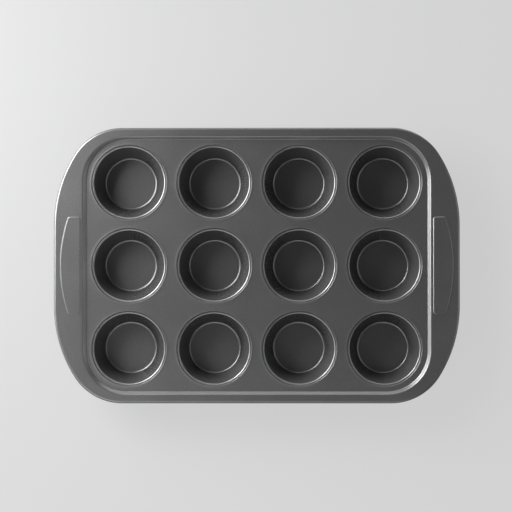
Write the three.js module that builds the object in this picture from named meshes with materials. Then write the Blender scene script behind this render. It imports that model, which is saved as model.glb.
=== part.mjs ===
// A muffin pan for twelve muffins: a pressed frame sheet whose edge is curled round a wire, and twelve drawn
// cups whose flanges are lapped under the frame's web.
// Millimetres, +Z up. The pan rests on its cup floors at z = 0, with its long side along X and its middle on the
// Z axis.
import * as THREE from "three";

// Cups
const columns = 4;
const rows = 3;
const cupThickness = 0.7;
const cupDepth = 30; // inside, from the floor to the ledge
const mouthDiameter = 69.5; // where the wall would meet the ledge without its round
const floorDiameter = 51; // where the wall would meet the floor without its round
const mouthRound = 1.6;
const floorRound = 1.8;
const ledgeWidth = 1.25; // from the mouth to the lower edge of the hole in the web
const seamLap = 4; // how far a cup's flange reaches under the web
const flangeGapX = 4; // between the flanges of neighbouring cups
const flangeGapY = 2;

// Frame sheet, from the holes out to the edge
const frameThickness = 0.8;
const holeSlope = 2.2; // how much further out the hole's upper edge lies than its lower edge
const webMarginX = 2.4; // from the outer cups' flanges to the foot of the recess wall
const webMarginY = 2;
const webCornerMargin = 0.5; // by which the web's corner radius exceeds a flange's
const recessDepth = 3.2; // from the brim down to the web
const wallRun = 3; // level distance that the recess wall covers
const bendRadius = 0.8; // inside radius of the bends at the top and the foot of the recess wall
const gripWidth = 28.6; // brim at the two short ends
const brimWidth = 8.75; // brim at the two long sides
const gripArcRadius = 132; // long arc between the straight end of a grip and a corner
const gripArcTurn = 32; // degrees
const cornerRadius = 56;

// Raised plain panel on each grip
const panelRise = 0.6;
const panelSlope = 1.2; // level width of its sloped edge
const panelLength = 96.2;
const panelInnerMargin = 2.2; // to the top of the recess wall
const panelOuterMargin = 6.2; // to the pan's edge
const panelBowRadius = 150; // of its bowed outer side
const panelCornerRadius = 3;

// Rim
const wireDiameter = 2.4;
const wireClearance = 0.2; // all round, inside the curl
const curlTurn = 270; // degrees that the sheet turns round the wire

// Facets
const cupSides = 32;
const roundSteps = 2;
const wallCornerSteps = 9;
const gripArcSteps = 6;
const cornerArcSteps = 9;
const curlSteps = 9;
const wireSides = 8;
const panelBowSteps = 4;
const panelCornerSteps = 3;

// Levels
const ledgeLevel = cupThickness + cupDepth;
const webTop = ledgeLevel + frameThickness;
const brimTop = webTop + recessDepth;

// Sizes that follow from those above
const mouthRadius = mouthDiameter / 2;
const floorRadius = floorDiameter / 2;
const holeRadius = mouthRadius + ledgeWidth;
const flangeRadius = holeRadius + seamLap;
const pitchX = 2 * flangeRadius + flangeGapX;
const pitchY = 2 * flangeRadius + flangeGapY;
const recessHalfLength = ((columns - 1) * pitchX) / 2 + flangeRadius + webMarginX + wallRun;
const recessHalfWidth = ((rows - 1) * pitchY) / 2 + flangeRadius + webMarginY + wallRun;
const recessCornerRadius = flangeRadius + webCornerMargin + wallRun;
const halfLength = recessHalfLength + gripWidth;
const halfWidth = recessHalfWidth + brimWidth;
const curlInnerRadius = wireDiameter / 2 + wireClearance;
const curlOuterRadius = curlInnerRadius + frameThickness;
const curlLevel = brimTop - curlOuterRadius;

// A closed surface gathered from bands between loops of points and from flat faces. Every loop runs anticlockwise
// as seen from above.
class Skin {
  constructor() {
    this.corners = [];
  }

  triangle(a, b, c) {
    this.corners.push(a, b, c);
  }

  // Joins two loops with as many points each. The band faces up where it runs inwards and down where it runs
  // outwards.
  band(from, to) {
    from.forEach((start, i) => {
      const next = (i + 1) % from.length;
      this.triangle(start, from[next], to[next]);
      this.triangle(start, to[next], to[i]);
    });
  }

  bands(loops) {
    loops.slice(1).forEach((loop, i) => this.band(loops[i], loop));
  }

  face(loop, holes, facesUp) {
    const points = [loop, ...holes].flat();
    for (const [i, j, k] of THREE.ShapeUtils.triangulateShape(loop, holes)) {
      const [a, b, c] = [points[i], points[j], points[k]];
      const leftTurn = (b.x - a.x) * (c.y - a.y) > (b.y - a.y) * (c.x - a.x);
      if (leftTurn === facesUp) this.triangle(a, b, c);
      else this.triangle(a, c, b);
    }
  }

  geometry() {
    return new THREE.BufferGeometry().setFromPoints(this.corners);
  }
}

const radians = THREE.MathUtils.degToRad;

function level(points, z) {
  return points.map((p) => new THREE.Vector3(p.x, p.y, z));
}

// Points on an arc, both ends included.
function arc(centreX, centreY, radius, from, to, steps) {
  return Array.from({ length: steps + 1 }, (_, i) => {
    const angle = from + ((to - from) * i) / steps;
    return new THREE.Vector2(centreX + radius * Math.cos(angle), centreY + radius * Math.sin(angle));
  });
}

function mirrored(points, signX, signY) {
  return points.map((p) => new THREE.Vector2(p.x * signX, p.y * signY));
}

// A loop that is alike in all four quarters, from its points with positive x and y.
function fourQuarters(quarter) {
  return [
    ...quarter,
    ...mirrored(quarter, -1, 1).reverse(),
    ...mirrored(quarter, -1, -1),
    ...mirrored(quarter, 1, -1).reverse(),
  ];
}

// An open line with rounded corners. Each corner is [x, y, radius], and a radius of 0 leaves it sharp.
function roundedLine(corners) {
  return corners.flatMap(([x, y, radius], i) => {
    const corner = new THREE.Vector2(x, y);
    if (radius === 0) return [corner];
    const back = new THREE.Vector2(...corners[i - 1]).sub(corner).normalize();
    const ahead = new THREE.Vector2(...corners[i + 1]).sub(corner).normalize();
    const halfAngle = back.angleTo(ahead) / 2;
    const start = corner.clone().addScaledVector(back, radius / Math.tan(halfAngle));
    const middle = back.clone().add(ahead).normalize();
    const centre = corner.clone().addScaledVector(middle, radius / Math.sin(halfAngle));
    const turn = Math.sign(ahead.cross(back)) * (Math.PI - 2 * halfAngle);
    return Array.from({ length: roundSteps + 1 }, (_, k) =>
      start.clone().rotateAround(centre, (turn * k) / roundSteps),
    );
  });
}

// The pan's edge, drawn in by an inset: a straight end on each grip, a long arc, a corner arc and a straight side.
function panOutline(inset) {
  const turn = radians(gripArcTurn);
  const reach = gripArcRadius - cornerRadius;
  const gripY = halfWidth - cornerRadius - reach * Math.sin(turn);
  const cornerX = halfLength - gripArcRadius + reach * Math.cos(turn);
  const gripArc = arc(halfLength - gripArcRadius, gripY, gripArcRadius - inset, 0, turn, gripArcSteps);
  const corner = arc(
    cornerX, halfWidth - cornerRadius, cornerRadius - inset, turn, Math.PI / 2, cornerArcSteps,
  );
  return fourQuarters([...gripArc, ...corner.slice(1)]);
}

// The top of the recess wall, drawn in by an inset.
function recessOutline(inset) {
  const centreX = recessHalfLength - recessCornerRadius;
  const centreY = recessHalfWidth - recessCornerRadius;
  const radius = recessCornerRadius - inset;
  return fourQuarters(arc(centreX, centreY, radius, 0, Math.PI / 2, wallCornerSteps));
}

// The foot of the right grip's panel, drawn in by an inset: a straight inner side, square ends and a bowed outer
// side. side = -1 gives the left grip's.
function panelOutline(inset, side) {
  const bowCentre = halfLength - panelOuterMargin - panelBowRadius;
  const cornerY = panelLength / 2 - panelCornerRadius;
  const reach = panelBowRadius - panelCornerRadius;
  const outerX = bowCentre + Math.sqrt(reach * reach - cornerY * cornerY);
  const innerX = recessHalfLength + panelInnerMargin + panelCornerRadius;
  const bowTurn = Math.asin(cornerY / reach);
  const radius = panelCornerRadius - inset;
  const bow = arc(bowCentre, 0, panelBowRadius - inset, 0, bowTurn, panelBowSteps);
  const outer = arc(outerX, cornerY, radius, bowTurn, Math.PI / 2, panelCornerSteps);
  const inner = arc(innerX, cornerY, radius, Math.PI / 2, Math.PI, panelCornerSteps);
  const half = [...bow, ...outer.slice(1), ...inner];
  const loop = [...half, ...mirrored(half.slice(1), 1, -1).reverse()];
  return side > 0 ? loop : mirrored(loop, -1, 1).reverse();
}

function cupCentres() {
  return Array.from({ length: rows * columns }, (_, i) => {
    const row = Math.floor(i / columns);
    const column = i % columns;
    return {
      name: `cup_row${row + 1}_col${column + 1}`,
      x: (column - (columns - 1) / 2) * pitchX,
      y: ((rows - 1) / 2 - row) * pitchY,
    };
  });
}

function holeLoops(radius, z) {
  return cupCentres().map(({ x, y }) =>
    level(arc(x, y, radius, 0, 2 * Math.PI, cupSides).slice(1), z),
  );
}

// Loops round the curl at one radius, from the sheet's free end under the brim, round the outside, to the top.
function curlLoops(radius) {
  return Array.from({ length: curlSteps + 1 }, (_, i) => {
    const angle = radians(90 - curlTurn * (1 - i / curlSteps));
    return level(
      panOutline(curlOuterRadius - radius * Math.cos(angle)),
      curlLevel + radius * Math.sin(angle),
    );
  });
}

// Loops down one side of the recess wall, from the brim to the web. The shift and the drop place the underside.
function wallLoops(shift, drop, topRadius, footRadius) {
  const section = roundedLine([
    [-gripWidth, brimTop - drop, 0],
    [-shift, brimTop - drop, topRadius],
    [wallRun - shift, webTop - drop, footRadius],
    [wallRun + gripWidth, webTop - drop, 0],
  ]);
  return section.slice(1, -1).map((p) => level(recessOutline(p.x), p.y));
}

// How far a bend moves the underside's corner, for a slope that rises by rise over run.
function bendShift(rise, run) {
  return frameThickness * Math.tan(Math.atan2(rise, run) / 2);
}

function addPanel(skin, side) {
  const shift = bendShift(panelRise, panelSlope);
  const upper = [
    level(panelOutline(0, side), brimTop),
    level(panelOutline(panelSlope, side), brimTop + panelRise),
  ];
  const under = [
    level(panelOutline(panelSlope + shift, side), brimTop + panelRise - frameThickness),
    level(panelOutline(shift, side), brimTop - frameThickness),
  ];
  skin.bands(upper);
  skin.face(upper[1], [], true);
  skin.face(under[0], [], false);
  skin.bands(under);
  return { upperFoot: upper[0], underFoot: under[1] };
}

function frameSheet() {
  const skin = new Skin();
  const panels = [1, -1].map((side) => addPanel(skin, side));
  const outerCurl = curlLoops(curlOuterRadius);
  const innerCurl = curlLoops(curlInnerRadius).reverse();
  const wallTop = wallLoops(0, 0, bendRadius + frameThickness, bendRadius);
  const wallUnder = wallLoops(
    bendShift(recessDepth, wallRun), frameThickness, bendRadius, bendRadius + frameThickness,
  ).reverse();
  const holeTops = holeLoops(holeRadius + holeSlope, webTop);
  const holeFeet = holeLoops(holeRadius, ledgeLevel);

  skin.bands(outerCurl);
  skin.face(outerCurl.at(-1), [wallTop[0], ...panels.map((p) => p.upperFoot)], true);
  skin.bands(wallTop);
  skin.face(wallTop.at(-1), holeTops, true);
  holeTops.forEach((loop, i) => skin.band(loop, holeFeet[i]));
  skin.face(wallUnder[0], holeFeet, false);
  skin.bands(wallUnder);
  skin.face(innerCurl[0], [wallUnder.at(-1), ...panels.map((p) => p.underFoot)], false);
  skin.bands(innerCurl);
  skin.band(innerCurl.at(-1), outerCurl[0]);
  return skin.geometry();
}

function rimWire() {
  const radius = wireDiameter / 2;
  const loops = Array.from({ length: wireSides }, (_, i) => {
    const angle = (2 * Math.PI * i) / wireSides;
    return level(
      panOutline(curlOuterRadius - radius * Math.cos(angle)),
      curlLevel + radius * Math.sin(angle),
    );
  });
  const skin = new Skin();
  skin.bands([...loops, loops[0]]);
  return skin.geometry();
}

// One drawn cup on its own axis, its floor at z = 0: outside from the floor up to the flange, then back inside.
function cup() {
  const slope = (mouthRadius - floorRadius) / cupDepth;
  const wallWidth = cupThickness * Math.hypot(1, slope);
  const outsideAt = (z) => floorRadius + (z - cupThickness) * slope + wallWidth;
  const flangeFoot = ledgeLevel - cupThickness;
  const profile = roundedLine([
    [0, 0, 0],
    [outsideAt(0), 0, floorRound + cupThickness],
    [outsideAt(flangeFoot), flangeFoot, 0],
    [flangeRadius, flangeFoot, 0],
    [flangeRadius, ledgeLevel, 0],
    [mouthRadius, ledgeLevel, mouthRound],
    [floorRadius, cupThickness, floorRound],
    [0, cupThickness, 0],
  ]);
  return new THREE.LatheGeometry(profile, cupSides).rotateX(Math.PI / 2);
}

function coating() {
  return new THREE.MeshStandardMaterial({ color: 0x505052, roughness: 0.42, metalness: 0.55 });
}

function wireSteel() {
  return new THREE.MeshStandardMaterial({ color: 0x8f9194, roughness: 0.4, metalness: 1 });
}

function piece(name, geometry, material) {
  const mesh = new THREE.Mesh(geometry, material);
  mesh.name = name;
  return mesh;
}

const pan = new THREE.Group();
pan.name = "muffin_pan";
pan.add(piece("frame_sheet", frameSheet(), coating()));
pan.add(piece("rim_wire", rimWire(), wireSteel()));
for (const { name, x, y } of cupCentres()) {
  const mesh = piece(name, cup(), coating());
  mesh.position.set(x, y, 0);
  pan.add(mesh);
}

export default pan;
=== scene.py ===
# A muffin pan for twelve muffins, dressed round its solids: a pressed frame sheet whose edge is
# curled round a wire, and twelve drawn cups lapped under the frame's web. All but the wire have
# one satin coating. Metres, +Z up.
import math

import bmesh
import bpy
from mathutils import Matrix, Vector
from mathutils.geometry import delaunay_2d_cdt


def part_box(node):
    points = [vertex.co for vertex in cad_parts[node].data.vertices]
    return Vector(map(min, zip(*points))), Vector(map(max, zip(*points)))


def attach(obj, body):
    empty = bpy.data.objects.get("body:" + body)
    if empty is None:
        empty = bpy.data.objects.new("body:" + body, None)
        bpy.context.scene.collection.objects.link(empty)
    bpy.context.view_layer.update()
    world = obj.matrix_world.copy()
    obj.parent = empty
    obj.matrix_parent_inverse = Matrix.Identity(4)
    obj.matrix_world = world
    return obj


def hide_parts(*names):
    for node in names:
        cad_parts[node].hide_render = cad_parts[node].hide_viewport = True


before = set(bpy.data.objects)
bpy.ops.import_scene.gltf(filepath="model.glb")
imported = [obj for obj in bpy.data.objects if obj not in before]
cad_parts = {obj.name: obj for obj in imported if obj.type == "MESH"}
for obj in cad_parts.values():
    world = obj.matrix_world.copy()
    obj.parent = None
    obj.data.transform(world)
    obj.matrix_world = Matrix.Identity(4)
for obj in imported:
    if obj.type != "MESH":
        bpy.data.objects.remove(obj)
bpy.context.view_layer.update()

MM = 0.001
CUP_NODES = sorted(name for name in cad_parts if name.startswith("cup_"))

# Cups
CUP_GAUGE = 0.7 * MM
MOUTH_RADIUS = 34.95 * MM  # where the wall would meet the bead's outer side without its round
FLOOR_RADIUS = 25.7 * MM  # where the wall would meet the floor without its round
MOUTH_ROUND = 1.3 * MM
FLOOR_ROUND = 2.2 * MM
FLANGE_ROUND = 0.6 * MM  # outside, under the flange
HIGHLIGHT_RING_RADIUS = 35.4 * MM  # middle of a ring of painted highlight, a lighter base colour, on the mouth's round
# width of the painted highlight ring on the mouth's round
HIGHLIGHT_RING_WIDTH = 0.9 * MM
HIGHLIGHT_RING_FADE = 0.35 * MM  # at both sides of that painted highlight ring
HIGHLIGHT_RING_MASK = "bead"  # the attribute by which a cup's mesh marks that painted highlight ring
LEDGE_WIDTH = 1.6 * MM  # from the mouth to the hole's lower edge
LIP_RISE = 0.35 * MM  # of the mouth's corner, before it is rounded to a bead
GROOVE_DEPTH = 0.5 * MM  # between the bead and the hole's edge
GROOVE_RUN = 0.8 * MM  # level width of the groove's side under the web
CUP_LOW, CUP_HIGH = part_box(CUP_NODES[0])
FLANGE_RADIUS = (CUP_HIGH.x - CUP_LOW.x) / 2
LEDGE_LEVEL = CUP_HIGH.z

# Frame sheet
FRAME_GAUGE = 0.8 * MM
HOLE_RADIUS = MOUTH_RADIUS + LEDGE_WIDTH
HOLE_SLOPE = 0.75 * MM  # level width of the step from the web down to the cup
SWELL_RUN = 3.1 * MM  # level width of the gentle rise of the web towards each hole
SWELL_RISE = 0.17 * MM
GRIP_WIDTH = 28.6 * MM  # brim at the two short ends
BRIM_WIDTH = 8.75 * MM  # brim at the two long sides
GRIP_ARC_RADIUS = 132 * MM
GRIP_ARC_TURN = math.radians(32)
CORNER_RADIUS = 56 * MM
RECESS_CORNER_RADIUS = 43.5 * MM  # at the top of the recess wall
WALL_RUN = 2.75 * MM  # level distance that the recess wall covers
BEND_RADIUS = 1.4 * MM  # inside, at the top and the foot of the recess wall
SHEET_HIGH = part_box("frame_sheet")[1]
HALF_LENGTH = SHEET_HIGH.x
HALF_WIDTH = SHEET_HIGH.y
WEB_TOP = LEDGE_LEVEL + FRAME_GAUGE

# Raised plain panel on each grip
PANEL_RISE = 0.6 * MM
PANEL_SLOPE = 0.8 * MM  # level width of its rounded edge
PANEL_LENGTH = 96.2 * MM
PANEL_INNER_MARGIN = 2.2 * MM  # to the top of the recess wall
PANEL_OUTER_MARGIN = 6.2 * MM  # to the pan's edge
PANEL_BOW_RADIUS = 150 * MM
PANEL_CORNER_RADIUS = 3 * MM
BRIM_TOP = SHEET_HIGH.z - PANEL_RISE

# Rim
WIRE_RADIUS = 1.2 * MM
CURL_INNER_RADIUS = 1.4 * MM
CURL_OUTER_RADIUS = CURL_INNER_RADIUS + FRAME_GAUGE
CURL_TURN = math.radians(270)
CURL_LEVEL = BRIM_TOP - CURL_OUTER_RADIUS

# Fineness of the meshes
CUP_SIDES = 96
CUP_ROUND_STEPS = 8
HOLE_STEPS = 8
GRIP_ARC_STEPS = 16
CORNER_ARC_STEPS = 32
RECESS_CORNER_STEPS = 32
BEND_STEPS = 8
CURL_STEPS = 28
PANEL_STEPS = 8
PANEL_BOW_STEPS = 16
PANEL_CORNER_STEPS = 8
WIRE_SIDES = 16
FLAT_MARGIN = 0.5 * MM  # a level strip beside every bend, which keeps the flats flat in the shading
SHARP_ANGLE = math.radians(40)
MERGE_DISTANCE = 0.01 * MM


# Outlines, as lists of (x, y) that run anticlockwise as seen from above

def arc(centre_x, centre_y, radius, start, end, steps):
    angles = [start + (end - start) * i / steps for i in range(steps + 1)]
    return [(centre_x + radius * math.cos(a), centre_y + radius * math.sin(a)) for a in angles]


def mirrored(points, sign_x, sign_y):
    return [(x * sign_x, y * sign_y) for x, y in points]


def four_quarters(quarter):
    """A loop that is alike in all four quarters, from its points with positive x and y."""
    return [
        *quarter,
        *reversed(mirrored(quarter, -1, 1)),
        *mirrored(quarter, -1, -1),
        *reversed(mirrored(quarter, 1, -1)),
    ]


def pan_outline(inset):
    """The pan's edge: a straight end on each grip, a long arc, a corner arc and a straight side."""
    reach = GRIP_ARC_RADIUS - CORNER_RADIUS
    grip_x = HALF_LENGTH - GRIP_ARC_RADIUS
    grip_y = HALF_WIDTH - CORNER_RADIUS - reach * math.sin(GRIP_ARC_TURN)
    corner_x = grip_x + reach * math.cos(GRIP_ARC_TURN)
    corner_y = HALF_WIDTH - CORNER_RADIUS
    grip = arc(grip_x, grip_y, GRIP_ARC_RADIUS - inset, 0, GRIP_ARC_TURN, GRIP_ARC_STEPS)
    corner = arc(
        corner_x, corner_y, CORNER_RADIUS - inset, GRIP_ARC_TURN, math.pi / 2, CORNER_ARC_STEPS
    )
    return four_quarters([*grip, *corner[1:]])


def recess_outline(inset):
    """The top of the recess wall, drawn in by an inset."""
    centre_x = HALF_LENGTH - GRIP_WIDTH - RECESS_CORNER_RADIUS
    centre_y = HALF_WIDTH - BRIM_WIDTH - RECESS_CORNER_RADIUS
    radius = RECESS_CORNER_RADIUS - inset
    return four_quarters(arc(centre_x, centre_y, radius, 0, math.pi / 2, RECESS_CORNER_STEPS))


def panel_outline(inset, side):
    """The foot of a grip's panel: a straight inner side, square ends and a bowed outer side."""
    bow_centre = HALF_LENGTH - PANEL_OUTER_MARGIN - PANEL_BOW_RADIUS
    corner_y = PANEL_LENGTH / 2 - PANEL_CORNER_RADIUS
    reach = PANEL_BOW_RADIUS - PANEL_CORNER_RADIUS
    outer_x = bow_centre + math.sqrt(reach**2 - corner_y**2)
    inner_x = HALF_LENGTH - GRIP_WIDTH + PANEL_INNER_MARGIN + PANEL_CORNER_RADIUS
    bow_turn = math.asin(corner_y / reach)
    radius = PANEL_CORNER_RADIUS - inset
    bow = arc(bow_centre, 0, PANEL_BOW_RADIUS - inset, 0, bow_turn, PANEL_BOW_STEPS)
    outer = arc(outer_x, corner_y, radius, bow_turn, math.pi / 2, PANEL_CORNER_STEPS)
    inner = arc(inner_x, corner_y, radius, math.pi / 2, math.pi, PANEL_CORNER_STEPS)
    half = [*bow, *outer[1:], *inner]
    loop = [*half, *reversed(mirrored(half[1:], 1, -1))]
    if side > 0:
        return loop
    return list(reversed(mirrored(loop, -1, 1)))


def circle(centre, radius):
    return arc(centre.x, centre.y, radius, 0, 2 * math.pi, CUP_SIDES)[1:]


# Sections, as lists of (inset, level)

def rounded_corner(before, corner, after, radius, steps):
    """Points on the round that replaces a corner between two straight stretches."""
    corner = Vector(corner)
    back = (Vector(before) - corner).normalized()
    ahead = (Vector(after) - corner).normalized()
    half_angle = back.angle(ahead) / 2
    centre = corner + (back + ahead).normalized() * radius / math.sin(half_angle)
    start = corner + back * radius / math.tan(half_angle) - centre
    turn = math.copysign(math.pi - 2 * half_angle, back.cross(ahead))
    points = []
    for i in range(steps + 1):
        angle = -turn * i / steps
        swing_x = start.x * math.cos(angle) - start.y * math.sin(angle)
        swing_y = start.x * math.sin(angle) + start.y * math.cos(angle)
        points.append((centre.x + swing_x, centre.y + swing_y))
    return points


def eased(run, rise, steps):
    """A soft step that leaves one level and reaches the next without a kink."""
    shares = [i / steps for i in range(steps + 1)]
    return [(run * t, rise * t * t * (3 - 2 * t)) for t in shares]


def wall_section(shift, drop, top_radius, foot_radius):
    """One side of the recess wall, brim to web. The shift and the drop place the underside."""
    brim = (-GRIP_WIDTH, BRIM_TOP - drop)
    top = (-shift, BRIM_TOP - drop)
    foot = (WALL_RUN - shift, WEB_TOP - drop)
    web = (WALL_RUN + GRIP_WIDTH, WEB_TOP - drop)
    upper = rounded_corner(brim, top, foot, top_radius, BEND_STEPS)
    lower = rounded_corner(top, foot, web, foot_radius, BEND_STEPS)
    first = (upper[0][0] - FLAT_MARGIN, upper[0][1])
    last = (lower[-1][0] + FLAT_MARGIN, lower[-1][1])
    return [first, *upper, *lower, last]


class Skin:
    """One closed surface, gathered from bands between loops of corners and from flat faces."""

    def __init__(self):
        self.mesh = bmesh.new()

    def loop(self, outline, level):
        return [self.mesh.verts.new((x, y, level)) for x, y in outline]

    def loops(self, outline, section):
        return [self.loop(outline(inset), level) for inset, level in section]

    def bands(self, loops):
        """Joins each loop to the next. A band that runs inwards faces up, and outwards, down."""
        for one, other in zip(loops, loops[1:]):
            for i in range(len(one)):
                j = (i + 1) % len(one)
                self.mesh.faces.new((one[i], one[j], other[j], other[i]))

    def flat(self, edge, holes, faces_up):
        """A level face inside one loop, with holes."""
        corners = []
        borders = []
        for loop in (edge, *holes):
            borders.append(list(range(len(corners), len(corners) + len(loop))))
            corners += loop
        inside_with_holes = 2
        tolerance = 1e-7
        filled = delaunay_2d_cdt(
            [corner.co.to_2d() for corner in corners], [], borders, inside_with_holes, tolerance
        )
        triangles, sources = filled[2], filled[3]
        for triangle in triangles:
            a, b, c = (corners[sources[i][0]] for i in triangle)
            left_turn = (b.co - a.co).to_2d().cross((c.co - a.co).to_2d()) > 0
            self.mesh.faces.new((a, b, c) if left_turn == faces_up else (a, c, b))

    def piece(self, name, material):
        for face in self.mesh.faces:
            face.smooth = True
        for edge in self.mesh.edges:
            edge.smooth = edge.calc_face_angle(0) < SHARP_ANGLE
        data = bpy.data.meshes.new(name)
        self.mesh.to_mesh(data)
        self.mesh.free()
        data.materials.append(material)
        return linked(bpy.data.objects.new(name, data))


def linked(piece):
    bpy.context.scene.collection.objects.link(piece)
    return piece


# Frame sheet

def curl_loops(skin, radius):
    """Loops round the curl, from the free end under the brim, round the outside, to the top."""
    section = []
    for i in range(CURL_STEPS + 1):
        angle = math.pi / 2 - CURL_TURN * (1 - i / CURL_STEPS)
        section.append(
            (CURL_OUTER_RADIUS - radius * math.cos(angle), CURL_LEVEL + radius * math.sin(angle))
        )
    inset, level = section[-1]
    return skin.loops(pan_outline, [*section, (inset + FLAT_MARGIN, level)])


def add_panel(skin, side):
    """Presses one raised panel, and gives the loops where it joins the brim, above and below."""
    section = [(-FLAT_MARGIN, 0), *eased(PANEL_SLOPE, PANEL_RISE, PANEL_STEPS)]
    section.append((PANEL_SLOPE + FLAT_MARGIN, PANEL_RISE))
    above = skin.loops(
        lambda inset: panel_outline(inset, side),
        [(inset, BRIM_TOP + rise) for inset, rise in section],
    )
    below = skin.loops(
        lambda inset: panel_outline(inset, side),
        [(inset, BRIM_TOP - FRAME_GAUGE + rise) for inset, rise in reversed(section)],
    )
    skin.bands(above)
    skin.flat(above[-1], [], True)
    skin.flat(below[0], [], False)
    skin.bands(below)
    return above[0], below[-1]


def add_hole(skin, centre):
    """Swells the web towards a hole, steps its edge down to the cup, and gives the joining loops."""
    shares = [i / HOLE_STEPS for i in range(HOLE_STEPS)]
    section = [(SWELL_RUN * t, SWELL_RISE * t * t) for t in shares]
    for run, drop in eased(HOLE_SLOPE, FRAME_GAUGE + SWELL_RISE, HOLE_STEPS):
        section.append((SWELL_RUN + run, SWELL_RISE - drop))
    reach = HOLE_RADIUS + section[-1][0]
    above = skin.loops(
        lambda inset: circle(centre, reach - inset),
        [(inset, WEB_TOP + rise) for inset, rise in section],
    )
    below = skin.loop(circle(centre, HOLE_RADIUS + FLAT_MARGIN), LEDGE_LEVEL)
    skin.bands([*above, below])
    return above[0], below


def frame_sheet(coating):
    skin = Skin()
    panels = [add_panel(skin, side) for side in (1, -1)]
    holes = [add_hole(skin, cup_centre(name)) for name in CUP_NODES]
    outer_curl = curl_loops(skin, CURL_OUTER_RADIUS)
    inner_curl = list(reversed(curl_loops(skin, CURL_INNER_RADIUS)))
    wall_angle = math.atan2(BRIM_TOP - WEB_TOP, WALL_RUN)
    shift = FRAME_GAUGE * math.tan(wall_angle / 2)
    outer_bend = BEND_RADIUS + FRAME_GAUGE
    wall_above = skin.loops(recess_outline, wall_section(0, 0, outer_bend, BEND_RADIUS))
    wall_below = skin.loops(
        recess_outline, reversed(wall_section(shift, FRAME_GAUGE, BEND_RADIUS, outer_bend))
    )
    skin.bands(outer_curl)
    skin.flat(outer_curl[-1], [wall_above[0], *(above for above, _ in panels)], True)
    skin.bands(wall_above)
    skin.flat(wall_above[-1], [above for above, _ in holes], True)
    skin.flat(wall_below[0], [below for _, below in holes], False)
    skin.bands(wall_below)
    skin.flat(inner_curl[0], [wall_below[-1], *(below for _, below in panels)], False)
    skin.bands(inner_curl)
    skin.bands([inner_curl[-1], outer_curl[0]])
    return skin.piece("pressed_frame_sheet", coating)


# Node trees

class Graph:
    """Adds nodes to a tree. An input is given a value or another node's output."""

    def __init__(self, tree):
        self.tree = tree

    def add(self, kind, inputs=None, **settings):
        node = self.tree.nodes.new(kind)
        for name, value in settings.items():
            setattr(node, name, value)
        for key, value in (inputs or {}).items():
            self.feed(node.inputs[key], value)
        return node

    def feed(self, socket, value):
        if isinstance(value, bpy.types.NodeSocket):
            self.tree.links.new(value, socket)
        else:
            socket.default_value = value

    def socket(self, name, kind, in_out="INPUT"):
        return self.tree.interface.new_socket(name=name, in_out=in_out, socket_type=kind)


def shape_graph(name, sizes):
    """A geometry tree with a named input for each size, given as (name, socket kind)."""
    graph = Graph(bpy.data.node_groups.new(name, "GeometryNodeTree"))
    graph.socket("Geometry", "NodeSocketGeometry")
    for size, kind in sizes:
        graph.socket(size, kind)
    graph.socket("Geometry", "NodeSocketGeometry", "OUTPUT")
    return graph


def end_shape(graph, geometry, material):
    """Smooth shading with sharp corners kept, then plain geometry with its finish."""
    smooth = graph.add("GeometryNodeSetShadeSmooth", {"Geometry": geometry}, domain="FACE")
    angle = graph.add("GeometryNodeInputMeshEdgeAngle").outputs["Unsigned Angle"]
    sharp = graph.add("FunctionNodeCompare", {0: angle, 1: SHARP_ANGLE}, operation="GREATER_THAN")
    creased = graph.add(
        "GeometryNodeSetShadeSmooth",
        {"Geometry": smooth.outputs[0], "Selection": sharp.outputs[0], "Shade Smooth": False},
        domain="EDGE",
    )
    realized = graph.add("GeometryNodeRealizeInstances", {"Geometry": creased.outputs[0]})
    finished = graph.add(
        "GeometryNodeSetMaterial", {"Geometry": realized.outputs[0], "Material": material}
    )
    graph.add("NodeGroupOutput", {"Geometry": finished.outputs[0]})


def shaped(name, data, tree, sizes):
    """A piece made by a geometry tree, as a plain mesh. Sizes go by the names of its inputs."""
    piece = linked(bpy.data.objects.new(name, data))
    modifier = piece.modifiers.new("Shape", "NODES")
    modifier.node_group = tree
    for socket in tree.interface.items_tree:
        if socket.in_out == "INPUT" and socket.name in sizes:
            modifier[socket.identifier] = sizes[socket.name]
    even = piece.modifiers.new("Even shading", "WEIGHTED_NORMAL")
    even.keep_sharp = True
    seen = piece.evaluated_get(bpy.context.evaluated_depsgraph_get())
    plain = bpy.data.meshes.new_from_object(seen)
    piece.modifiers.clear()
    piece.data = plain
    plain.name = name
    return piece


# Cups

def cup_centre(name):
    low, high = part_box(name)
    return (low + high) / 2


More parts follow.
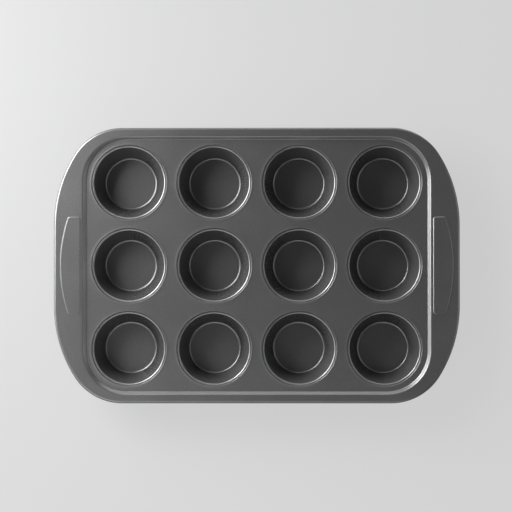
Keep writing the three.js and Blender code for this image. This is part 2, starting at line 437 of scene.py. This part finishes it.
def cup_tree():
    """Draws a cup's section corner by corner, rounds it and turns it about the cup's axis."""
    graph = shape_graph("drawn cup", [
        ("Floor Radius", "NodeSocketFloat"),
        ("Mouth Radius", "NodeSocketFloat"),
        ("Groove Radius", "NodeSocketFloat"),
        ("Flange Radius", "NodeSocketFloat"),
        ("Height", "NodeSocketFloat"),
        ("Gauge", "NodeSocketFloat"),
        ("Lip Rise", "NodeSocketFloat"),
        ("Groove Depth", "NodeSocketFloat"),
        ("Groove Run", "NodeSocketFloat"),
        ("Floor Round", "NodeSocketFloat"),
        ("Mouth Round", "NodeSocketFloat"),
        ("Flange Round", "NodeSocketFloat"),
        ("Round Steps", "NodeSocketInt"),
        ("Sides", "NodeSocketInt"),
        ("Highlight Ring Radius", "NodeSocketFloat"),
        ("Highlight Ring Width", "NodeSocketFloat"),
        ("Highlight Ring Fade", "NodeSocketFloat"),
        ("Centre", "NodeSocketVector"),
        ("Coating", "NodeSocketMaterial"),
    ])
    size = graph.add("NodeGroupInput").outputs

    def sum_of(a, b):
        return graph.add("ShaderNodeMath", {0: a, 1: b}, operation="ADD").outputs[0]

    def less(a, b):
        return graph.add("ShaderNodeMath", {0: a, 1: b}, operation="SUBTRACT").outputs[0]

    def times(a, b):
        return graph.add("ShaderNodeMath", {0: a, 1: b}, operation="MULTIPLY").outputs[0]

    depth = less(size["Height"], size["Gauge"])
    flare = less(size["Mouth Radius"], size["Floor Radius"])
    slope = graph.add("ShaderNodeMath", {0: flare, 1: depth}, operation="DIVIDE").outputs[0]
    lean = graph.add(
        "ShaderNodeMath", {0: sum_of(times(slope, slope), 1.0)}, operation="SQRT"
    ).outputs[0]
    wall = times(size["Gauge"], lean)
    gauge_flare = times(size["Gauge"], slope)
    foot_radius = less(sum_of(size["Floor Radius"], wall), gauge_flare)
    neck_radius = less(sum_of(size["Mouth Radius"], wall), gauge_flare)
    corners = [
        (0.0, size["Gauge"], 0.0),
        (size["Floor Radius"], size["Gauge"], size["Floor Round"]),
        (size["Mouth Radius"], sum_of(size["Height"], size["Lip Rise"]), size["Mouth Round"]),
        (size["Groove Radius"], less(size["Height"], size["Groove Depth"]), 0.0),
        (sum_of(size["Groove Radius"], size["Groove Run"]), size["Height"], 0.0),
        (size["Flange Radius"], size["Height"], 0.0),
        (size["Flange Radius"], depth, 0.0),
        (neck_radius, depth, size["Flange Round"]),
        (foot_radius, 0.0, sum_of(size["Floor Round"], size["Gauge"])),
        (0.0, 0.0, 0.0),
    ]
    index = graph.add("GeometryNodeInputIndex").outputs[0]
    place = index_switch(graph, "VECTOR", index, len(corners))
    round_off = index_switch(graph, "FLOAT", index, len(corners))
    for i, (radius, level, corner_round) in enumerate(corners):
        across = less(radius, size["Flange Radius"])
        down = times(level, -1.0)
        point = graph.add("ShaderNodeCombineXYZ", {"X": across, "Y": down})
        graph.feed(place.inputs[i + 1], point.outputs[0])
        graph.feed(round_off.inputs[i + 1], corner_round)
    line = graph.add("GeometryNodeMeshLine", {"Count": len(corners)})
    bent = graph.add(
        "GeometryNodeSetPosition", {"Geometry": line.outputs[0], "Position": place.outputs[0]}
    )
    section = graph.add("GeometryNodeMeshToCurve", {"Mesh": bent.outputs[0]})
    rounded = graph.add(
        "GeometryNodeFilletCurve",
        {"Curve": section.outputs[0], "Count": size["Round Steps"], "Radius": round_off.outputs[0]},
        mode="POLY",
    )
    ring = graph.add(
        "GeometryNodeCurvePrimitiveCircle",
        {"Resolution": size["Sides"], "Radius": size["Flange Radius"]},
    )
    upright = graph.add("GeometryNodeSetCurveNormal", {"Curve": ring.outputs[0]}, mode="Z_UP")
    turned = graph.add(
        "GeometryNodeCurveToMesh", {"Curve": upright.outputs[0], "Profile Curve": rounded.outputs[0]}
    )
    closed = graph.add(
        "GeometryNodeMergeByDistance",
        {"Geometry": turned.outputs[0], "Distance": MERGE_DISTANCE},
    )
    # Marks a ring on the mouth's round, by distance from the axis, where the coating gets a painted
    # highlight
    position = graph.add("GeometryNodeInputPosition").outputs[0]
    flattened = graph.add(
        "ShaderNodeVectorMath", {0: position, 1: (1, 1, 0)}, operation="MULTIPLY"
    )
    from_axis = graph.add("ShaderNodeVectorMath", {0: flattened.outputs[0]}, operation="LENGTH")
    off_middle = graph.add(
        "ShaderNodeMath",
        {0: less(from_axis.outputs["Value"], size["Highlight Ring Radius"])},
        operation="ABSOLUTE",
    )
    highlight_ring_edge = times(size["Highlight Ring Width"], 0.5)
    on_highlight_ring = graph.add("ShaderNodeMapRange", {
        "Value": off_middle.outputs[0],
        "From Min": highlight_ring_edge,
        "From Max": sum_of(highlight_ring_edge, size["Highlight Ring Fade"]),
        "To Min": 1.0,
        "To Max": 0.0,
    })
    marked = graph.add(
        "GeometryNodeStoreNamedAttribute",
        {"Geometry": closed.outputs[0], "Name": HIGHLIGHT_RING_MASK, "Value": on_highlight_ring.outputs[0]},
        data_type="FLOAT",
        domain="POINT",
    )
    placed = graph.add(
        "GeometryNodeTransform", {"Geometry": marked.outputs[0], "Translation": size["Centre"]}
    )
    end_shape(graph, placed.outputs[0], size["Coating"])
    return graph.tree


def index_switch(graph, kind, index, count):
    switch = graph.add("GeometryNodeIndexSwitch", {"Index": index}, data_type=kind)
    while len(switch.index_switch_items) < count:
        switch.index_switch_items.new()
    return switch


def drawn_cups(coating):
    tree = cup_tree()
    cups = {}
    for name in CUP_NODES:
        centre = cup_centre(name)
        cups[name] = shaped(f"drawn_{name}", bpy.data.meshes.new(name), tree, {
            "Floor Radius": FLOOR_RADIUS,
            "Mouth Radius": MOUTH_RADIUS,
            "Groove Radius": HOLE_RADIUS,
            "Flange Radius": FLANGE_RADIUS,
            "Height": LEDGE_LEVEL,
            "Gauge": CUP_GAUGE,
            "Lip Rise": LIP_RISE,
            "Groove Depth": GROOVE_DEPTH,
            "Groove Run": GROOVE_RUN,
            "Floor Round": FLOOR_ROUND,
            "Mouth Round": MOUTH_ROUND,
            "Flange Round": FLANGE_ROUND,
            "Round Steps": CUP_ROUND_STEPS,
            "Sides": CUP_SIDES,
            "Highlight Ring Radius": HIGHLIGHT_RING_RADIUS,
            "Highlight Ring Width": HIGHLIGHT_RING_WIDTH,
            "Highlight Ring Fade": HIGHLIGHT_RING_FADE,
            "Centre": (centre.x, centre.y, 0.0),
            "Coating": coating,
        })
    return cups


# Rim wire

def wire_tree():
    graph = shape_graph("swept wire", [
        ("Wire Radius", "NodeSocketFloat"),
        ("Sides", "NodeSocketInt"),
        ("Steel", "NodeSocketMaterial"),
    ])
    size = graph.add("NodeGroupInput").outputs
    path = graph.add("GeometryNodeMeshToCurve", {"Mesh": size["Geometry"]})
    section = graph.add(
        "GeometryNodeCurvePrimitiveCircle",
        {"Resolution": size["Sides"], "Radius": size["Wire Radius"]},
    )
    upright = graph.add("GeometryNodeSetCurveNormal", {"Curve": path.outputs[0]}, mode="Z_UP")
    swept = graph.add(
        "GeometryNodeCurveToMesh", {"Curve": upright.outputs[0], "Profile Curve": section.outputs[0]}
    )
    end_shape(graph, swept.outputs[0], size["Steel"])
    return graph.tree


def rim_wire(steel):
    path = [(x, y, CURL_LEVEL) for x, y in pan_outline(CURL_OUTER_RADIUS)]
    data = bpy.data.meshes.new("rim_wire_path")
    data.from_pydata(path, [(i, (i + 1) % len(path)) for i in range(len(path))], [])
    return shaped("closed_rim_wire", data, wire_tree(), {
        "Wire Radius": WIRE_RADIUS,
        "Sides": WIRE_SIDES,
        "Steel": steel,
    })


# Finishes

CLOUD_DETAIL = 3.0
PEEL_DETAIL = 2.0
WAVE_DETAIL = 0.0
FLECK_RARITY = 0.8  # the share of cells that hold no fleck
FLECK_EDGE = 0.45  # in cell sizes from a fleck's middle
FLECK_CORE = 0.15
FLECK_STRENGTH = 0.85
FLECK_TONE = (0.45, 0.45, 0.455, 1)
COATING_DARK = (0.19, 0.19, 0.192, 1)
COATING_LIGHT = (0.21, 0.21, 0.212, 1)
# painted highlight: the lighter base colour on the ring of each cup's mouth round
BEAD_HIGHLIGHT_TONE = (0.285, 0.285, 0.288, 1)
SLANT_TONE = (0.05, 0.05, 0.05, 1)  # flecks that lie flat in the coating are dark at a slant
COATING_METAL = 0.86
COATING_ROUGHNESS = (0.36, 0.4)
COATING_WAVE = 0.1 * MM
COATING_PEEL = 0.004 * MM
STEEL_DARK = (0.46, 0.465, 0.475, 1)
STEEL_LIGHT = (0.6, 0.605, 0.61, 1)
STEEL_ROUGHNESS = (0.28, 0.42)
STEEL_PEEL = 0.003 * MM


def grain_group():
    """Slow tone changes, scattered flecks and a fine uneven surface, at sizes given in metres."""
    graph = Graph(bpy.data.node_groups.new("sheet grain", "ShaderNodeTree"))
    graph.socket("Position", "NodeSocketVector")
    for size in ("Cloud Size", "Fleck Size", "Peel Size", "Wave Size"):
        graph.socket(size, "NodeSocketFloat")
    for mask in ("Cloud", "Fleck", "Peel", "Wave"):
        graph.socket(mask, "NodeSocketFloat", "OUTPUT")
    given = graph.add("NodeGroupInput").outputs
    masks = graph.add("NodeGroupOutput").inputs

    def per_metre(size):
        return graph.add("ShaderNodeMath", {0: 1.0, 1: given[size]}, operation="DIVIDE").outputs[0]

    def noise(size, detail):
        return graph.add(
            "ShaderNodeTexNoise",
            {"Vector": given["Position"], "Scale": per_metre(size), "Detail": detail},
        ).outputs["Fac"]

    cells = graph.add(
        "ShaderNodeTexVoronoi", {"Vector": given["Position"], "Scale": per_metre("Fleck Size")}
    )
    pick = graph.add("ShaderNodeSeparateColor", {"Color": cells.outputs["Color"]}).outputs["Red"]
    chosen = graph.add(
        "ShaderNodeMapRange", {"Value": pick, "From Min": FLECK_RARITY, "From Max": 1.0}
    ).outputs[0]
    spot = graph.add(
        "ShaderNodeMapRange",
        {"Value": cells.outputs["Distance"], "From Min": FLECK_EDGE, "From Max": FLECK_CORE},
    ).outputs[0]
    fleck = graph.add("ShaderNodeMath", {0: chosen, 1: spot}, operation="MULTIPLY").outputs[0]
    graph.feed(masks["Cloud"], noise("Cloud Size", CLOUD_DETAIL))
    graph.feed(masks["Fleck"], fleck)
    graph.feed(masks["Peel"], noise("Peel Size", PEEL_DETAIL))
    graph.feed(masks["Wave"], noise("Wave Size", WAVE_DETAIL))
    return graph.tree


def finish_graph(name, grain, sizes):
    """A material with a Principled shader and the grain group in it."""
    material = bpy.data.materials.new(name)
    material.use_nodes = True
    material.node_tree.nodes.clear()
    graph = Graph(material.node_tree)
    position = graph.add("ShaderNodeTexCoord").outputs["Object"]
    placed = graph.add("ShaderNodeGroup", node_tree=grain)
    graph.feed(placed.inputs["Position"], position)
    for size, value in sizes.items():
        graph.feed(placed.inputs[size], value)
    shader = graph.add("ShaderNodeBsdfPrincipled")
    graph.add("ShaderNodeOutputMaterial", {"Surface": shader.outputs[0]})
    return material, graph, placed.outputs, shader.inputs


def ranged(graph, mask, low, high):
    scaled = graph.add("ShaderNodeMapRange", {"Value": mask, "To Min": low, "To Max": high})
    return scaled.outputs[0]


def blended(graph, share, under, over):
    """One colour laid over another by a share."""
    under_socket, over_socket, colour_socket = 6, 7, 2
    mix = graph.add("ShaderNodeMix", data_type="RGBA")
    graph.feed(mix.inputs["Factor"], share)
    graph.feed(mix.inputs[under_socket], under)
    graph.feed(mix.inputs[over_socket], over)
    return mix.outputs[colour_socket]


def uneven(graph, heights):
    """Bumps one on the other, each given as (mask, height in metres)."""
    normal = None
    for mask, height in heights:
        bump = graph.add("ShaderNodeBump", {"Height": mask, "Strength": 1.0, "Distance": height})
        if normal is not None:
            graph.feed(bump.inputs["Normal"], normal)
        normal = bump.outputs[0]
    return normal


def coating_finish(grain):
    material, graph, mask, shader = finish_graph("satin coating", grain, {
        "Cloud Size": 30 * MM,
        "Fleck Size": 0.55 * MM,
        "Peel Size": 0.7 * MM,
        "Wave Size": 45 * MM,
    })
    tone = blended(graph, mask["Cloud"], COATING_DARK, COATING_LIGHT)
    on_fleck = ranged(graph, mask["Fleck"], 0.0, FLECK_STRENGTH)
    flecked = blended(graph, on_fleck, tone, FLECK_TONE)
    # The marked ring on each cup's mouth gets a lighter base colour, a painted highlight
    on_highlight_ring = graph.add("ShaderNodeAttribute", attribute_name=HIGHLIGHT_RING_MASK).outputs["Fac"]
    graph.feed(shader["Base Color"], blended(graph, on_highlight_ring, flecked, BEAD_HIGHLIGHT_TONE))
    graph.feed(shader["Roughness"], ranged(graph, mask["Cloud"], *COATING_ROUGHNESS))
    bumps = [(mask["Wave"], COATING_WAVE), (mask["Peel"], COATING_PEEL)]
    graph.feed(shader["Normal"], uneven(graph, bumps))
    shader["Metallic"].default_value = COATING_METAL
    shader["Specular IOR Level"].default_value = 0.0
    shader["Specular Tint"].default_value = SLANT_TONE
    return material


def steel_finish(grain):
    material, graph, mask, shader = finish_graph("drawn wire steel", grain, {
        "Cloud Size": 12 * MM,
        "Fleck Size": 0.4 * MM,
        "Peel Size": 0.3 * MM,
        "Wave Size": 20 * MM,
    })
    graph.feed(shader["Base Color"], blended(graph, mask["Cloud"], STEEL_DARK, STEEL_LIGHT))
    graph.feed(shader["Roughness"], ranged(graph, mask["Peel"], *STEEL_ROUGHNESS))
    graph.feed(shader["Normal"], uneven(graph, [(mask["Peel"], STEEL_PEEL)]))
    shader["Metallic"].default_value = 1.0
    return material


# Studio

CAMERA_PLACE = (13.84 * MM, -5.65 * MM, 1810.04 * MM)
CAMERA_TURN = [math.radians(angle) for angle in (0.4838, 0.468, -0.0179)]
CAMERA_LENS = 126.79
FLOOR_SIZE = 30.0
FLOOR_GAP = 0.2 * MM
FLOOR_COLOUR = (0.68, 0.68, 0.68, 1)
FLOOR_SHOWN = (0.655, 0.655, 0.66, 1)  # what the camera and reflections see of it, for the most part
FLOOR_SHOWN_SHARE = 0.86  # the rest is the lit floor, which keeps the pan's shadow
LAMP_AIM = (0.0, 0.0, 0.03)
LAMPS = {  # azimuth and zenith angle in degrees, distance, width, height, power
    "window": (156, 59, 0.64, 0.44, 0.36, 5.4),
    "window_sill": (150, 70, 0.7, 0.45, 0.3, 1.2),
    "window_wall": (135, 62, 3.0, 1.2, 1.2, 44.0),
    "window_wall_foot": (135, 80, 3.0, 1.5, 0.8, 18.0),
    "left_wall_foot": (180, 82, 3.0, 1.5, 1.0, 22.0),
    "back_wall": (90, 60, 3.0, 1.5, 1.0, 6.0),
    "back_wall_foot": (80, 82, 3.0, 2.5, 1.0, 21.0),
    "right_card": (0, 54, 0.7, 0.5, 0.3, 0.5),
    "right_wall_foot": (0, 84, 3.0, 2.0, 1.0, 6.0),
    "front_card": (256, 47, 0.6, 0.8, 0.4, 1.15),
    "front_left_card": (228, 56, 0.6, 0.5, 0.4, 0.6),
}
ROOM_HORIZON = 0.5
ROOM_ZENITH = 0.07
ROOM_FALL = 0.28  # height, on a dome of radius 1, where the room reaches its zenith level


def studio_floor():
    half = FLOOR_SIZE / 2
    data = bpy.data.meshes.new("studio_floor")
    corners = [(-half, -half), (half, -half), (half, half), (-half, half)]
    data.from_pydata([(x, y, -FLOOR_GAP) for x, y in corners], [], [(0, 1, 2, 3)])
    material = bpy.data.materials.new("pale floor")
    material.use_nodes = True
    material.node_tree.nodes.clear()
    graph = Graph(material.node_tree)
    path = graph.add("ShaderNodeLightPath").outputs
    mirrored_or_direct = graph.add(
        "ShaderNodeMath",
        {0: path["Is Camera Ray"], 1: path["Is Glossy Ray"]},
        operation="MAXIMUM",
    )
    seen = graph.add(
        "ShaderNodeMath",
        {0: mirrored_or_direct.outputs[0], 1: path["Is Transmission Ray"]},
        operation="MAXIMUM",
    )
    share = graph.add(
        "ShaderNodeMath", {0: seen.outputs[0], 1: FLOOR_SHOWN_SHARE}, operation="MULTIPLY"
    )
    lit = graph.add("ShaderNodeBsdfDiffuse", {"Color": FLOOR_COLOUR})
    shown = graph.add("ShaderNodeEmission", {"Color": FLOOR_SHOWN})
    mixed = graph.add(
        "ShaderNodeMixShader", {0: share.outputs[0], 1: lit.outputs[0], 2: shown.outputs[0]}
    )
    graph.add("ShaderNodeOutputMaterial", {"Surface": mixed.outputs[0]})
    data.materials.append(material)
    linked(bpy.data.objects.new("studio_floor", data))


def softbox(name, place, aim, size, power):
    lamp = bpy.data.lights.new(name, "AREA")
    lamp.shape = "RECTANGLE"
    lamp.size, lamp.size_y = size
    lamp.energy = power
    holder = linked(bpy.data.objects.new(name, lamp))
    holder.location = place
    holder.rotation_euler = (Vector(aim) - Vector(place)).to_track_quat("-Z", "Y").to_euler()
    holder.visible_camera = False


def studio_world():
    world = bpy.data.worlds.new("studio")
    world.use_nodes = True
    world.node_tree.nodes.clear()
    graph = Graph(world.node_tree)
    direction = graph.add("ShaderNodeTexCoord").outputs["Generated"]
    height = graph.add("ShaderNodeSeparateXYZ", {"Vector": direction}).outputs["Z"]
    level = graph.add(
        "ShaderNodeMapRange",
        {"Value": height, "From Max": ROOM_FALL, "To Min": ROOM_HORIZON, "To Max": ROOM_ZENITH},
        interpolation_type="SMOOTHSTEP",
    )
    sky = graph.add("ShaderNodeBackground", {"Strength": level.outputs[0]})
    graph.add("ShaderNodeOutputWorld", {"Surface": sky.outputs[0]})
    bpy.context.scene.world = world


def studio_camera():
    data = bpy.data.cameras.new("camera")
    data.lens = CAMERA_LENS
    holder = linked(bpy.data.objects.new("camera", data))
    holder.location = CAMERA_PLACE
    holder.rotation_euler = CAMERA_TURN
    bpy.context.scene.camera = holder


def around(azimuth, zenith, distance):
    """A place at a distance from the middle of the pan's floor, by its angles in degrees."""
    turn, lean = math.radians(azimuth), math.radians(zenith)
    level = distance * math.sin(lean)
    return (level * math.cos(turn), level * math.sin(turn), distance * math.cos(lean))


def studio():
    studio_camera()
    studio_floor()
    studio_world()
    for name, (azimuth, zenith, distance, width, height, power) in LAMPS.items():
        softbox(name, around(azimuth, zenith, distance), LAMP_AIM, (width, height), power)
    bpy.context.scene.view_settings.view_transform = "Standard"


# The pan

studio()
grain = grain_group()
coating = coating_finish(grain)
steel = steel_finish(grain)
dressed = {"frame_sheet": frame_sheet(coating), "rim_wire": rim_wire(steel), **drawn_cups(coating)}
for node, piece in dressed.items():
    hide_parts(node)
    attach(piece, "root")
